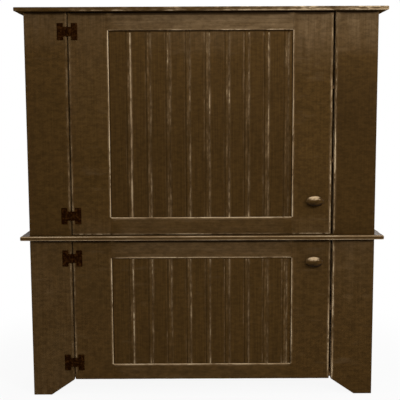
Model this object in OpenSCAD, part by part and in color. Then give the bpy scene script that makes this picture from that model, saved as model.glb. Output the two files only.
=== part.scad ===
// Country kitchen hutch: two stacked cases, each closed by one wide inset door
// with a beaded board panel, wrought H hinges on the left and an oval knob.
// +X runs to the right, +Y to the back and +Z up. The origin lies on the floor,
// in the middle of the whole outline seen from above.

/* [Case] */
// Width of the case, without the overhang of the boards
case_w = 1600; // [1300:10:1900]
// Height from the floor to the top of the cornice board
total_h = 1800; // [1600:10:2100]
// Depth from the face of the doors to the back
case_d = 450; // [350:10:600]
// Height of the lower case, up to the underside of the waist board
lower_h = 746; // [680:2:820]
// Thickness of the cornice board
cornice_t = 18; // [16:1:30]
// Thickness of the waist board
waist_t = 19; // [18:1:30]
// How far the cornice and waist boards stand out at the front and the sides
overhang = 38; // [36:1:60]
// Thickness of the side boards
side_t = 19; // [16:1:28]
// Depth of the housing in the side boards for the bottom board
housing_d = 6; // [3:1:10]

/* [Face frame] */
// Width of the four upright face boards
face_w = 194; // [150:1:240]
// Thickness of the face boards
face_t = 19; // [18:1:21]
// Width of a front foot on the floor
foot_w = 84; // [60:1:110]
// Height of the cut between the feet
foot_h = 74; // [50:1:90]
// Width of the front and rear foot of a side board on the floor
side_foot_w = 84; // [60:1:110]
// How far the slope of a side foot runs
side_foot_run = 60; // [20:5:75]

/* [Shelves] */
// Thickness of the shelves and the bottom board
shelf_t = 19; // [16:1:25]
// Clear height of the lowest bay of the upper case
first_bay_h = 330; // [250:5:360]
// Clear height of the middle bay of the upper case
second_bay_h = 320; // [220:5:340]
// Clear height of the lowest bay of the lower case
lower_bay_h = 300; // [200:5:360]
// Distance from the back of a door to the front edge of a shelf
shelf_setback = 10; // [6:1:40]
// Thickness of the cleats
cleat_t = 19; // [16:1:25]
// Height of the cleats
cleat_h = 30; // [24:1:45]

/* [Back] */
// Thickness of the back boards
back_t = 12; // [9:1:16]
// Number of back boards in each case
back_count = 8; // [6:1:12]
// Overlap of two neighbouring back boards
back_lap = 8; // [4:1:12]
// Gap between two neighbouring back boards
back_gap = 0.6; // [0.3:0.1:0.9]

/* [Doors] */
// Thickness of the doors
door_t = 22; // [21:1:28]
// Gap between a door and the face board on the hinge side
hinge_gap = 3.5; // [2.5:0.5:5]
// Gap between a door and the face board on the knob side
knob_gap = 8; // [2:0.5:9]
// Gap above and below a door
door_gap = 3; // [2:0.5:5]
// Width of the door stiles
stile_w = 182; // [120:1:200]
// Height of the top rail of the upper door
upper_top_rail = 79; // [60:1:120]
// Height of the bottom rail of the upper door
upper_bottom_rail = 80; // [60:1:120]
// Height of the top rail of the lower door
lower_top_rail = 86; // [60:1:120]
// Height of the bottom rail of the lower door
lower_bottom_rail = 74; // [60:1:120]
// Depth of the groove that holds the panel and the tenons
groove_d = 10; // [6:1:14]

/* [Panels] */
// Thickness of the panel boards
panel_t = 10; // [9:0.5:11]
// How far the panel lies behind the face of the door
panel_recess = 7; // [5:0.5:8]
// Distance from one bead to the next
bead_pitch = 89.7; // [60:0.1:150]
// Visible width of the first panel board
first_board_w = 77.5; // [50:1:140]
// Narrowest visible width of the last panel board
last_board_min = 25; // [25:1:40]
// Width of the bead
bead_w = 15; // [7:0.5:18]
// Width of the quirk on each side of the bead
quirk_w = 3; // [1.5:0.1:3.5]
// Depth of the quirk
quirk_d = 2.5; // [1.5:0.1:3.4]
// Thickness of the tongue of a panel board
tongue_t = 3; // [2:0.1:3.5]
// Length of the tongue of a panel board
tongue_l = 6; // [4:0.5:8]

/* [Hinges] */
// Width of a whole hinge
hinge_w = 92; // [80:1:110]
// Height of a whole hinge
hinge_h = 76; // [66:1:100]
// Width of the upright bar of a leaf
bar_w = 28; // [20:1:32]
// Height of the tongue that carries the knuckles
hinge_tongue_h = 42; // [30:1:60]
// Thickness of a leaf
leaf_t = 2.5; // [2:0.1:2.8]
// Outer radius of a knuckle
knuckle_r = 4; // [4:0.1:4.8]
// Radius of the hinge pin
hinge_pin_r = 2; // [1.5:0.1:2.4]
// Gap between two knuckles
knuckle_gap = 0.4; // [0.2:0.1:0.8]
// Height of a hinge above the bottom of the upper door
upper_hinge_rise = 88; // [60:1:160]
// Drop of a hinge below the top of the upper door
upper_hinge_drop = 84; // [60:1:160]
// Height of a hinge above the bottom of the lower door
lower_hinge_rise = 83; // [60:1:160]
// Drop of a hinge below the top of the lower door
lower_hinge_drop = 86; // [60:1:160]

/* [Knobs] */
// Width of the oval knob
knob_w = 84; // [50:1:90]
// Height of the oval knob
knob_h = 48; // [34:1:60]
// How far the knob stands out from the door
knob_out = 35; // [28:1:36]
// Distance from the edge of the door to the middle of the knob
knob_inset = 79; // [70:1:110]
// Height of the upper knob above the bottom of its door
upper_knob_rise = 154; // [120:1:300]
// Drop of the lower knob below the top of its door
lower_knob_drop = 104; // [80:1:200]
// Radius of the knob screw
knob_screw_r = 2.5; // [2:0.1:3]

/* [Catches] */
// Width of a catch
catch_w = 46; // [36:1:60]
// Height of a catch
catch_h = 15; // [12:1:20]
// Depth of a catch
catch_d = 16; // [12:1:24]
// Thickness of the strike plate on the door
strike_t = 1.2; // [0.8:0.1:2]
// Gap between a catch and its strike plate
catch_gap = 0.3; // [0.2:0.1:0.6]

/* [Fasteners] */
// Radius of the shank of a wood screw
screw_r = 2; // [1.5:0.1:2.5]
// Radius of the head of a wood screw
screw_head_r = 4; // [3.2:0.1:4.8]
// How deep a screw bites into the board that it holds
screw_bite = 8; // [6:0.5:8.5]
// Distance from the end of a cleat to its nearest screw
screw_inset = 50; // [30:5:60]
// How deep a hinge screw goes into the wood
hinge_screw_bite = 14; // [8:1:16]
// Radius of the shank of a nail
nail_r = 1.3; // [0.9:0.1:1.8]
// Radius of the head of a nail
nail_head_r = 3; // [2.2:0.1:4]
// Length of a nail
nail_l = 27; // [22:1:28]

/* [Hidden] */
// Clearance of a fixed fit, on each side
fit = 0.1;
// Running clearance of a hinge pin, on the radius
pin_play = 0.05;
// Gap between two pieces that only meet end to end
butt_gap = 0.2;
// How far a cutting body reaches past a face
over = 1;
// Sides of a drawn circle
round_fn = 32;

// Places of the main faces
half_w = case_w / 2;
in_x = half_w - side_t;
face_y = (overhang - case_d) / 2;
back_y = face_y + case_d;
face_back = face_y + face_t;
door_back = face_y + door_t;
back_in = back_y - back_t;
waist_top = lower_h + waist_t;
cornice_z = total_h - cornice_t;
face_in = half_w - face_w;

// Shelves and cleats
shelf_y = door_back + shelf_setback;
bottom_z = foot_h + door_gap + 1;
bottom_y = door_back + 1;
low_shelf_z = waist_top + first_bay_h;
high_shelf_z = low_shelf_z + shelf_t + second_bay_h;
lower_shelf_z = bottom_z + shelf_t + lower_bay_h;
shelf_x = in_x - fit;
rear_cleat_y = back_in - cleat_t;

// Doors
door_x = [-face_in + hinge_gap, face_in - knob_gap];
open_x = [door_x[0] + stile_w, door_x[1] - stile_w];
panel_y = face_y + panel_recess;
groove_y = [panel_y - fit, panel_y + panel_t + fit];
knob_x = door_x[1] - knob_inset;
Z0 = 0;
Z1 = 1;
OPEN0 = 2;
OPEN1 = 3;
HINGES = 4;
KNOB = 5;
STRIKE = 6;
strike_h = catch_h - 5;
upper_z = [waist_top + door_gap, cornice_z - door_gap];
lower_z = [foot_h + 1, lower_h - door_gap];
upper_door = [
    upper_z[0], upper_z[1],
    upper_z[0] + upper_bottom_rail, upper_z[1] - upper_top_rail,
    [upper_z[0] + upper_hinge_rise, upper_z[1] - upper_hinge_drop],
    upper_z[0] + upper_knob_rise,
    upper_z[0] + strike_h / 2 + 1
];
lower_door = [
    lower_z[0], lower_z[1],
    lower_z[0] + lower_bottom_rail, lower_z[1] - lower_top_rail,
    [lower_z[0] + lower_hinge_rise, lower_z[1] - lower_hinge_drop],
    lower_z[1] - lower_knob_drop,
    lower_z[1] - strike_h / 2 - 1
];

// Panel boards
open_w = open_x[1] - open_x[0];
joint_count = floor((open_w - first_board_w - last_board_min) / bead_pitch) + 1;
bead_half = bead_w / 2;
bead_r = (bead_half * bead_half + quirk_d * quirk_d) / (2 * quirk_d);
tongue_y = (panel_t + quirk_d - tongue_t) / 2;

// Hinges
hinge_x = -face_in + hinge_gap / 2;
knuckle_count = 3;
knuckle_h = (hinge_tongue_h - (knuckle_count - 1) * knuckle_gap) / knuckle_count;
knuckle_step = knuckle_h + knuckle_gap;
tongue_start = knuckle_r + 0.5;
bar_x = hinge_w / 2 - bar_w;
hinge_screw_z = hinge_h / 2 - 12;
hinge_head_r = 4;
hinge_head_h = 1.1;
pin_tip_r = 3;
pin_tip_h = 2;

// Knobs: an oval cap on a round stem
knob_long = knob_w / 2;
knob_short = knob_h / 2;
knob_focus = knob_long * knob_long - knob_short * knob_short;
knob_dome = knob_out * 0.38;
knob_under = knob_out * 0.26;
knob_widest = knob_out - knob_dome;
knob_foot_r = 12;
knob_foot_h = 2.5;
knob_neck_r = 8.5;

// Fasteners
screw_head_h = screw_head_r - screw_r;
nail_head_h = 1.2;
knob_screw_depth = 16;
knob_head_r = 5;
knob_head_h = 2.5;

// Screws through the side cleats, and the back nails
cleat_ends = [shelf_y + screw_inset, rear_cleat_y - screw_inset];
inner_ends = [cleat_ends[0] + 25, cleat_ends[1] - 25];
outer_ends = [cleat_ends[0] - 15, cleat_ends[1] + 15];
back_pitch = 2 * in_x / back_count;
rear_screw_x = [-in_x + back_pitch, 0, in_x - back_pitch];
upper_cleat_tops = [low_shelf_z, high_shelf_z, cornice_z, waist_top + cleat_h];
lower_cleat_tops = [lower_shelf_z, lower_h];
upper_nail_rows = [
    waist_top + cleat_h / 2, low_shelf_z + shelf_t / 2,
    high_shelf_z + shelf_t / 2, cornice_z - cleat_h / 2
];
lower_nail_rows = [
    bottom_z + shelf_t / 2, lower_shelf_z + shelf_t / 2, lower_h - cleat_h / 2
];

// Colours
painted = [0.25, 0.18, 0.09];
painted_light = [0.29, 0.21, 0.11];
iron = [0.10, 0.08, 0.07];
steel = [0.62, 0.62, 0.64];
brass = [0.70, 0.56, 0.30];

// A block between two limits on each axis
module slab(x, y, z)
    translate([x[0], y[0], z[0]])
        cube([x[1] - x[0], y[1] - y[0], z[1] - z[0]]);

// The limits of a block on the left (-1) or the right (1) of the case
function on_side(side, inner, outer) =
    side < 0 ? [-outer, -inner] : [inner, outer];

// A flush wood screw, or the hole for one. It drives along +Z.
module wood_screw(length, hole = false) {
    grow = hole ? fit : 0;
    start = hole ? -over : 0;
    rotate_extrude($fn = round_fn)
        polygon(concat(
            [[0, start], [screw_head_r + grow, start]],
            hole ? [[screw_head_r + grow, 0]] : [],
            [
                [screw_r + grow, screw_head_h],
                [screw_r + grow, length + grow],
                [0, length + grow]
            ]));
}

// A flush nail, or the hole for one. It drives along +Z.
module nail(hole = false) {
    grow = hole ? fit : 0;
    start = hole ? -over : 0;
    rotate_extrude($fn = round_fn)
        polygon([
            [0, start], [nail_head_r + grow, start],
            [nail_head_r + grow, nail_head_h], [nail_r + grow, nail_head_h],
            [nail_r + grow, nail_l + grow], [0, nail_l + grow]
        ]);
}

// A screw with a domed head that stands proud of Z = 0. It drives along +Z.
module domed_screw(head_r, head_h, shank_r, length) {
    dome_r = (head_r * head_r + head_h * head_h) / (2 * head_h);
    half = asin(head_r / dome_r);
    steps = 5;
    rotate_extrude($fn = round_fn)
        polygon(concat(
            [for (i = [0:steps])
                [dome_r * sin(half * i / steps),
                 dome_r - head_h - dome_r * cos(half * i / steps)]],
            [[shank_r, 0], [shank_r, length], [0, length]]));
}

// Screws through side cleats into both side boards
module side_screws(tops, hole = false)
    for (side = [-1, 1], top = tops, y = cleat_ends)
        translate([side * (in_x - cleat_t), y, top - cleat_h / 2])
            rotate([0, side * 90, 0])
                wood_screw(cleat_t + screw_bite, hole);

// Screws through the cleats at one level, up or down into a wide board
module board_screws(z, up, ends, hole = false) {
    turn = up ? 0 : 180;
    length = cleat_h + screw_bite;
    for (side = [-1, 1], y = ends)
        translate([side * (in_x - cleat_t / 2), y, z])
            rotate([turn, 0, 0])
                wood_screw(length, hole);
    for (x = rear_screw_x)
        translate([x, back_in - cleat_t * (up ? 0.65 : 0.35), z])
            rotate([turn, 0, 0])
                wood_screw(length, hole);
}

// Rows of nails through the back boards
module nail_rows(rows, hole = false)
    for (i = [0:back_count - 1], part = [0.25, 0.75], z = rows)
        translate([-in_x + (i + part) * back_pitch, back_y, z])
            rotate([90, 0, 0])
                nail(hole);

// All vertical screws that hold the cornice and the waist board
module cornice_screws(hole = false)
    board_screws(cornice_z - cleat_h, true, inner_ends, hole);

module waist_top_screws(hole = false)
    board_screws(waist_top + cleat_h, false, inner_ends, hole);

module waist_under_screws(hole = false)
    board_screws(lower_h - cleat_h, true, outer_ends, hole);

// One side cleat with its top at a level
module side_cleats(tops, back)
    difference() {
        for (side = [-1, 1], top = tops)
            slab(on_side(side, in_x - cleat_t, in_x),
                [shelf_y, back], [top - cleat_h, top]);
        side_screws(tops, true);
    }

// Side cleats and a rear cleat that hold a wide board
module framing_cleats(top, rows) {
    side_cleats([top], rear_cleat_y - butt_gap);
    difference() {
        slab([-in_x, in_x], [rear_cleat_y, back_in], [top - cleat_h, top]);
        nail_rows(rows, true);
    }
}

module side_blank(side, z)
    slab(on_side(side, in_x, half_w), [face_back, back_y], z);

module upper_side(side)
    difference() {
        side_blank(side, [waist_top, cornice_z]);
        side_screws(upper_cleat_tops, true);
    }

// The opening between the feet of a side board
module side_foot_cut()
    rotate([90, 0, 90])
        translate([0, 0, -half_w - over])
            linear_extrude(case_w + 2 * over)
                polygon([
                    [face_y + side_foot_w - side_foot_run * over / foot_h, -over],
                    [face_y + side_foot_w + side_foot_run, foot_h],
                    [back_y - side_foot_w - side_foot_run, foot_h],
                    [back_y - side_foot_w + side_foot_run * over / foot_h, -over]
                ]);

module lower_side(side)
    difference() {
        side_blank(side, [0, lower_h]);
        side_foot_cut();
        slab(on_side(side, in_x - over, in_x + housing_d),
            [face_back - over, back_y + over],
            [bottom_z, bottom_z + shelf_t]);
        side_screws(lower_cleat_tops, true);
    }

module face_board(side, z)
    slab(on_side(side, face_in, half_w), [face_y, face_back], z);

module upper_face(side)
    difference() {
        face_board(side, [waist_top, cornice_z]);
        if (side < 0) leaf_screw_holes(upper_door, side);
    }

// The slope that leaves the foot of a face board
module front_foot_cut(side) {
    slope = (face_w - foot_w) / foot_h;
    mirror([side < 0 ? 1 : 0, 0, 0])
        translate([0, face_back + over, 0])
            rotate([90, 0, 0])
                linear_extrude(face_t + 2 * over)
                    polygon([
                        [half_w - foot_w + slope * over, -over],
                        [face_in - slope * over, foot_h + over],
                        [face_in - slope * over, -over]
                    ]);
}

module lower_face(side)
    difference() {
        face_board(side, [0, lower_h]);
        front_foot_cut(side);
        if (side < 0) leaf_screw_holes(lower_door, side);
    }

module shelf(z)
    difference() {
        slab([-shelf_x, shelf_x], [shelf_y, back_in], [z, z + shelf_t]);
        nail_rows([z + shelf_t / 2], true);
    }

// One back board, seen from above with its inner face at Y = 0. A lap in front
// of the board before it, and one behind the board after it.
module back_profile(width, first, last) {
    near = first ? 0 : back_lap;
    far = last ? width : width - back_gap;
    translate([near, 0])
        square([far - near, back_t]);
    if (!first)
        square([near + over, back_t / 2 - fit]);
    if (!last)
        translate([far - over, back_t / 2 + fit])
            square([over + back_lap, back_t / 2 - fit]);
}

module back_boards(z, rows)
    difference() {
        for (i = [0:back_count - 1])
            translate([-in_x + i * back_pitch, back_in, z[0]])
                linear_extrude(z[1] - z[0])
                    back_profile(back_pitch, i == 0, i == back_count - 1);
        nail_rows(rows, true);
    }

// Outline of a hinge leaf, seen from the front, with +X away from the pin
module leaf_outline() {
    translate([bar_x, -hinge_h / 2])
        square([bar_w, hinge_h]);
    translate([tongue_start, -hinge_tongue_h / 2])
        square([bar_x - tongue_start + over, hinge_tongue_h]);
}

// A hinge leaf on the left (-1) or the right (1) of its pin, with the knuckles listed
module hinge_leaf(side, z, knuckles)
    translate([hinge_x, face_y, z])
        difference() {
            union() {
                mirror([side < 0 ? 1 : 0, 0, 0])
                    rotate([90, 0, 0])
                        linear_extrude(leaf_t)
                            leaf_outline();
                for (k = knuckles)
                    translate([0, 0, k * knuckle_step - hinge_tongue_h / 2]) {
                        translate([0, -knuckle_r, 0])
                            cylinder(r = knuckle_r, h = knuckle_h, $fn = round_fn);
                        slab(on_side(side, 0, tongue_start + over),
                            [-leaf_t, 0], [0, knuckle_h]);
                    }
            }
            translate([0, -knuckle_r, -hinge_h / 2])
                cylinder(r = hinge_pin_r + pin_play, h = hinge_h, $fn = round_fn);
            for (step = [-1, 0, 1])
                translate([side * (hinge_w - bar_w) / 2, over, step * hinge_screw_z])
                    rotate([90, 0, 0])
                        cylinder(r = screw_r + fit, h = leaf_t + 2 * over, $fn = round_fn);
        }

module case_leaf(z) hinge_leaf(-1, z, [0, 2]);
module door_leaf(z) hinge_leaf(1, z, [1]);

// Points where the screws of one side of a door's hinges enter
function leaf_screw_points(door, side) = [
    for (z = door[HINGES], step = [-1, 0, 1])
        [hinge_x + side * (hinge_w - bar_w) / 2, face_y - leaf_t, z + step * hinge_screw_z]
];

module leaf_screw_holes(door, side)
    for (point = leaf_screw_points(door, side))
        translate(point)
            rotate([-90, 0, 0])
                cylinder(r = screw_r + fit, h = leaf_t + hinge_screw_bite + fit, $fn = round_fn);

module leaf_screws(door, side)
    for (point = leaf_screw_points(door, side))
        translate(point)
            rotate([-90, 0, 0])
                domed_screw(hinge_head_r, hinge_head_h, screw_r, leaf_t + hinge_screw_bite);

module hinge_pins(door)
    for (z = door[HINGES])
        translate([hinge_x, face_y - knuckle_r, z - hinge_tongue_h / 2]) {
            translate([0, 0, -pin_tip_h])
                cylinder(r = pin_tip_r, h = pin_tip_h, $fn = round_fn);
            translate([0, 0, -over])
                cylinder(r = hinge_pin_r, h = hinge_tongue_h + 2 * over, $fn = round_fn);
            translate([0, 0, hinge_tongue_h])
                cylinder(r = pin_tip_r, h = pin_tip_h, $fn = round_fn);
        }

module stile_groove(door, x)
    slab(x, groove_y, [door[Z0] - over, door[Z1] + over]);

module hinge_stile(door)
    difference() {
        slab([door_x[0], open_x[0]], [face_y, door_back], [door[Z0], door[Z1]]);
        stile_groove(door, [open_x[0] - groove_d, open_x[0] + over]);
        leaf_screw_holes(door, 1);
    }

module knob_stile(door)
    difference() {
        slab([open_x[1], door_x[1]], [face_y, door_back], [door[Z0], door[Z1]]);
        stile_groove(door, [open_x[1] - over, open_x[1] + groove_d]);
        translate([knob_x, door_back + over, door[KNOB]])
            rotate([90, 0, 0])
                cylinder(r = knob_screw_r + fit, h = door_t + 2 * over, $fn = round_fn);
    }

// A rail with a stub tenon at each end and a groove on its inner edge
module rail(z, groove_z)
    difference() {
        union() {
            slab(open_x, [face_y, door_back], z);
            slab([open_x[0] - groove_d + fit, open_x[1] + groove_d - fit],
                [groove_y[0] + fit, groove_y[1] - fit], z);
        }
        slab([open_x[0] - groove_d - over, open_x[1] + groove_d + over], groove_y, groove_z);
    }

module top_rail(door)
    rail([door[OPEN1], door[Z1]], [door[OPEN1] - over, door[OPEN1] + groove_d]);

module bottom_rail(door)
    rail([door[Z0], door[OPEN0]], [door[OPEN0] - groove_d, door[OPEN0] + over]);

// One panel board, seen from above with its face at Y = 0 and its bead at X = 0
module board_profile(width, bead, tongue)
    difference() {
        union() {
            square([tongue ? width - butt_gap : width, panel_t]);
            if (tongue)
                translate([width - over, tongue_y])
                    square([over + tongue_l, tongue_t]);
        }
        if (bead) {
            difference() {
                translate([-over, -over])
                    square([over + 2 * quirk_w + bead_w, over + quirk_d]);
                translate([quirk_w + bead_half, bead_r])
                    circle(r = bead_r, $fn = 2 * round_fn);
            }
            translate([-over, tongue_y - fit])
                square([over + tongue_l + 2 * fit, tongue_t + 2 * fit]);
        }
    }

// Where each panel board starts: in the stile's groove, then at each joint
function board_starts() = concat(
    [open_x[0] - groove_d + 1],
    [for (k = [0:joint_count - 1]) open_x[0] + first_board_w + k * bead_pitch],
    [open_x[1] + groove_d - 1]
);

module panel_boards(door) {
    starts = board_starts();
    for (i = [0:joint_count])
        translate([starts[i], panel_y, door[OPEN0] - groove_d])
            linear_extrude(door[OPEN1] - door[OPEN0] + 2 * groove_d - 2)
                board_profile(starts[i + 1] - starts[i], i > 0, i < joint_count);
}

// One round swelling of the oval cap, at a distance along its long axis
module cap_swelling(along) {
    r = knob_short * sqrt(1 - along * along / knob_focus);
    translate([along, 0, knob_widest])
        rotate_extrude($fn = round_fn)
            polygon([
                for (t = [-90:22.5:90])
                    [r * cos(t), (t < 0 ? knob_under : knob_dome) * r / knob_short * sin(t)]
            ]);
}

module knob_cap()
    hull()
        for (part = [-1, -0.5, 0, 0.5, 1])
            cap_swelling(part * knob_focus / knob_long);

module knob_stem()
    rotate_extrude($fn = round_fn)
        polygon([
            [0, 0], [knob_foot_r, 0], [knob_foot_r, knob_foot_h],
            [knob_neck_r, 2 * knob_foot_h], [knob_neck_r, knob_widest], [0, knob_widest]
        ]);

module knob(door)
    translate([knob_x, face_y, door[KNOB]])
        rotate([90, 0, 0])
            difference() {
                union() {
                    knob_stem();
                    knob_cap();
                }
                translate([0, 0, -over])
                    cylinder(r = knob_screw_r + fit, h = over + knob_screw_depth + fit,
                        $fn = round_fn);
            }

module knob_screw(door)
    translate([knob_x, door_back, door[KNOB]])
        rotate([90, 0, 0])
            domed_screw(knob_head_r, knob_head_h, knob_screw_r, door_t + knob_screw_depth);

// A catch that stands on (1) or hangs under (-1) the waist board
module catch_block(z, up) {
    level = up > 0 ? [z, z + catch_h] : [z - catch_h, z];
    front = door_back + strike_t + catch_gap;
    slab([knob_x - catch_w / 2, knob_x + catch_w / 2], [front + 1, front + catch_d], level);
    for (x = [-1, 1])
        slab([knob_x + x * catch_w / 4 - 2, knob_x + x * catch_w / 4 + 2],
            [front, front + 2], [level[0] + 2, level[1] - 2]);
}

module strike(door)
    slab([knob_x - catch_w / 2, knob_x + catch_w / 2], [door_back, door_back + strike_t],
        [door[STRIKE] - strike_h / 2, door[STRIKE] + strike_h / 2]);

module wide_board(z)
    slab([-half_w - overhang, half_w + overhang], [face_y - overhang, back_y], z);

// Named pieces of the upper case
module top_board()
    color(painted_light)
        difference() {
            wide_board([cornice_z, total_h]);
            cornice_screws(true);
        }
module upper_side_left() color(painted) upper_side(-1);
module upper_side_right() color(painted) upper_side(1);
module upper_face_left() color(painted) upper_face(-1);
module upper_face_right() color(painted) upper_face(1);
module upper_shelf_high() color(painted) shelf(high_shelf_z);
module upper_shelf_low() color(painted) shelf(low_shelf_z);
module upper_shelf_cleats() color(painted) side_cleats([low_shelf_z, high_shelf_z], back_in);
module top_cleats()
    color(painted)
        difference() {
            framing_cleats(cornice_z, [upper_nail_rows[3]]);
            cornice_screws(true);
        }
module upper_base_cleats()
    color(painted)
        difference() {
            framing_cleats(waist_top + cleat_h, [upper_nail_rows[0]]);
            waist_top_screws(true);
        }
module upper_back_boards() color(painted) back_boards([waist_top, cornice_z], upper_nail_rows);

// Named pieces of the waist and the lower case
module waist_board()
    color(painted_light)
        difference() {
            wide_board([lower_h, waist_top]);
            waist_top_screws(true);
            waist_under_screws(true);
        }
module lower_side_left() color(painted) lower_side(-1);
module lower_side_right() color(painted) lower_side(1);
module lower_face_left() color(painted) lower_face(-1);
module lower_face_right() color(painted) lower_face(1);
module bottom_board()
    color(painted)
        difference() {
            union() {
                slab([-shelf_x, shelf_x], [bottom_y, back_in], [bottom_z, bottom_z + shelf_t]);
                slab([-in_x - housing_d + fit, in_x + housing_d - fit],
                    [bottom_y, back_in], [bottom_z, bottom_z + shelf_t]);
            }
            nail_rows([lower_nail_rows[0]], true);
        }
module lower_shelf() color(painted) shelf(lower_shelf_z);
module lower_shelf_cleats() color(painted) side_cleats([lower_shelf_z], back_in);
module waist_cleats()
    color(painted)
        difference() {
            framing_cleats(lower_h, [lower_nail_rows[2]]);
            waist_under_screws(true);
        }
module lower_back_boards() color(painted) back_boards([bottom_z, lower_h], lower_nail_rows);

// Named fasteners and hinge pieces of the cases
module upper_back_nails() color(steel) nail_rows(upper_nail_rows);
module lower_back_nails() color(steel) nail_rows(lower_nail_rows);
module upper_cleat_screws()
    color(steel) {
        side_screws(upper_cleat_tops);
        cornice_screws();
        waist_top_screws();
    }
module lower_cleat_screws()
    color(steel) {
        side_screws(lower_cleat_tops);
        waist_under_screws();
    }
module upper_hinge_high_case_leaf() color(iron) case_leaf(upper_door[HINGES][1]);
module upper_hinge_low_case_leaf() color(iron) case_leaf(upper_door[HINGES][0]);
module lower_hinge_high_case_leaf() color(iron) case_leaf(lower_door[HINGES][1]);
module lower_hinge_low_case_leaf() color(iron) case_leaf(lower_door[HINGES][0]);
module upper_hinge_pins() color(iron) hinge_pins(upper_door);
module lower_hinge_pins() color(iron) hinge_pins(lower_door);
module case_leaf_screws()
    color(iron) {
        leaf_screws(upper_door, -1);
        leaf_screws(lower_door, -1);
    }
module upper_catch() color(brass) catch_block(waist_top, 1);
module lower_catch() color(brass) catch_block(lower_h, -1);

// Named pieces of the upper door
module upper_door_hinge_stile() color(painted) hinge_stile(upper_door);
module upper_door_knob_stile() color(painted) knob_stile(upper_door);
module upper_door_top_rail() color(painted) top_rail(upper_door);
module upper_door_bottom_rail() color(painted) bottom_rail(upper_door);
module upper_door_panel_boards() color(painted_light) panel_boards(upper_door);
module upper_hinge_high_door_leaf() color(iron) door_leaf(upper_door[HINGES][1]);
module upper_hinge_low_door_leaf() color(iron) door_leaf(upper_door[HINGES][0]);
module upper_door_leaf_screws() color(iron) leaf_screws(upper_door, 1);
module upper_knob() color(painted_light) knob(upper_door);
module upper_knob_screw() color(steel) knob_screw(upper_door);
module upper_strike() color(steel) strike(upper_door);

// Named pieces of the lower door
module lower_door_hinge_stile() color(painted) hinge_stile(lower_door);
module lower_door_knob_stile() color(painted) knob_stile(lower_door);
module lower_door_top_rail() color(painted) top_rail(lower_door);
module lower_door_bottom_rail() color(painted) bottom_rail(lower_door);
module lower_door_panel_boards() color(painted_light) panel_boards(lower_door);
module lower_hinge_high_door_leaf() color(iron) door_leaf(lower_door[HINGES][1]);
module lower_hinge_low_door_leaf() color(iron) door_leaf(lower_door[HINGES][0]);
module lower_door_leaf_screws() color(iron) leaf_screws(lower_door, 1);
module lower_knob() color(painted_light) knob(lower_door);
module lower_knob_screw() color(steel) knob_screw(lower_door);
module lower_strike() color(steel) strike(lower_door);

top_board();
upper_side_left();
upper_side_right();
upper_face_left();
upper_face_right();
upper_shelf_high();
upper_shelf_low();
upper_shelf_cleats();
top_cleats();
upper_base_cleats();
upper_back_boards();
waist_board();
lower_side_left();
lower_side_right();
lower_face_left();
lower_face_right();
bottom_board();
lower_shelf();
lower_shelf_cleats();
waist_cleats();
lower_back_boards();
upper_back_nails();
lower_back_nails();
upper_cleat_screws();
lower_cleat_screws();
upper_hinge_high_case_leaf();
upper_hinge_low_case_leaf();
lower_hinge_high_case_leaf();
lower_hinge_low_case_leaf();
upper_hinge_pins();
lower_hinge_pins();
case_leaf_screws();
upper_catch();
lower_catch();
upper_door_hinge_stile();
upper_door_knob_stile();
upper_door_top_rail();
upper_door_bottom_rail();
upper_door_panel_boards();
upper_hinge_high_door_leaf();
upper_hinge_low_door_leaf();
upper_door_leaf_screws();
upper_knob();
upper_knob_screw();
upper_strike();
lower_door_hinge_stile();
lower_door_knob_stile();
lower_door_top_rail();
lower_door_bottom_rail();
lower_door_panel_boards();
lower_hinge_high_door_leaf();
lower_hinge_low_door_leaf();
lower_door_leaf_screws();
lower_knob();
lower_knob_screw();
lower_strike();
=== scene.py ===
"""Looks of the kitchen hutch: dark paint rubbed through to the wood, black hinges, waxed knobs."""

import math
import zlib
from collections import namedtuple

import bmesh
import bpy
import numpy as np
from mathutils import Matrix, Vector


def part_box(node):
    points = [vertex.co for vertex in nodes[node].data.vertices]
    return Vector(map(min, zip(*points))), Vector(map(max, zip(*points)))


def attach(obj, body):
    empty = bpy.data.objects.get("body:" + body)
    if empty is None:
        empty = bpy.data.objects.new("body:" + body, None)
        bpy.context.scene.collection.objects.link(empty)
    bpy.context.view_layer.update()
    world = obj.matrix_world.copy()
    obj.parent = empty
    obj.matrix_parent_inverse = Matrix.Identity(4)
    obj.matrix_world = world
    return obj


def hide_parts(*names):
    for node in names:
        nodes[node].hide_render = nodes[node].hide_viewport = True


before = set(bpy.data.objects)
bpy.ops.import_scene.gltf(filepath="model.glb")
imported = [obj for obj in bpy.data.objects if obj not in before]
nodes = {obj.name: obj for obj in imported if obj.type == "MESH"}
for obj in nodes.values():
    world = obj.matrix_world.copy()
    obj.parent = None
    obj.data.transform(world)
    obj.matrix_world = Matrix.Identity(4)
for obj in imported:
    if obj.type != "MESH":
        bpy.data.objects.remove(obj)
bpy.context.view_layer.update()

# The photograph's view: a square frame, seen from in front of the doors and a little above
PHOTO_PX = 400
FOCAL_PX = 815
SENSOR_MM = 36
CAMERA_BACK = 3.7366
CAMERA_HEIGHT = 1.3695
CAMERA_PITCH = math.radians(6.7331)
CAMERA_ROLL = math.radians(-0.245)
OBJECT_OFFSET_PX = 1.890

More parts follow.
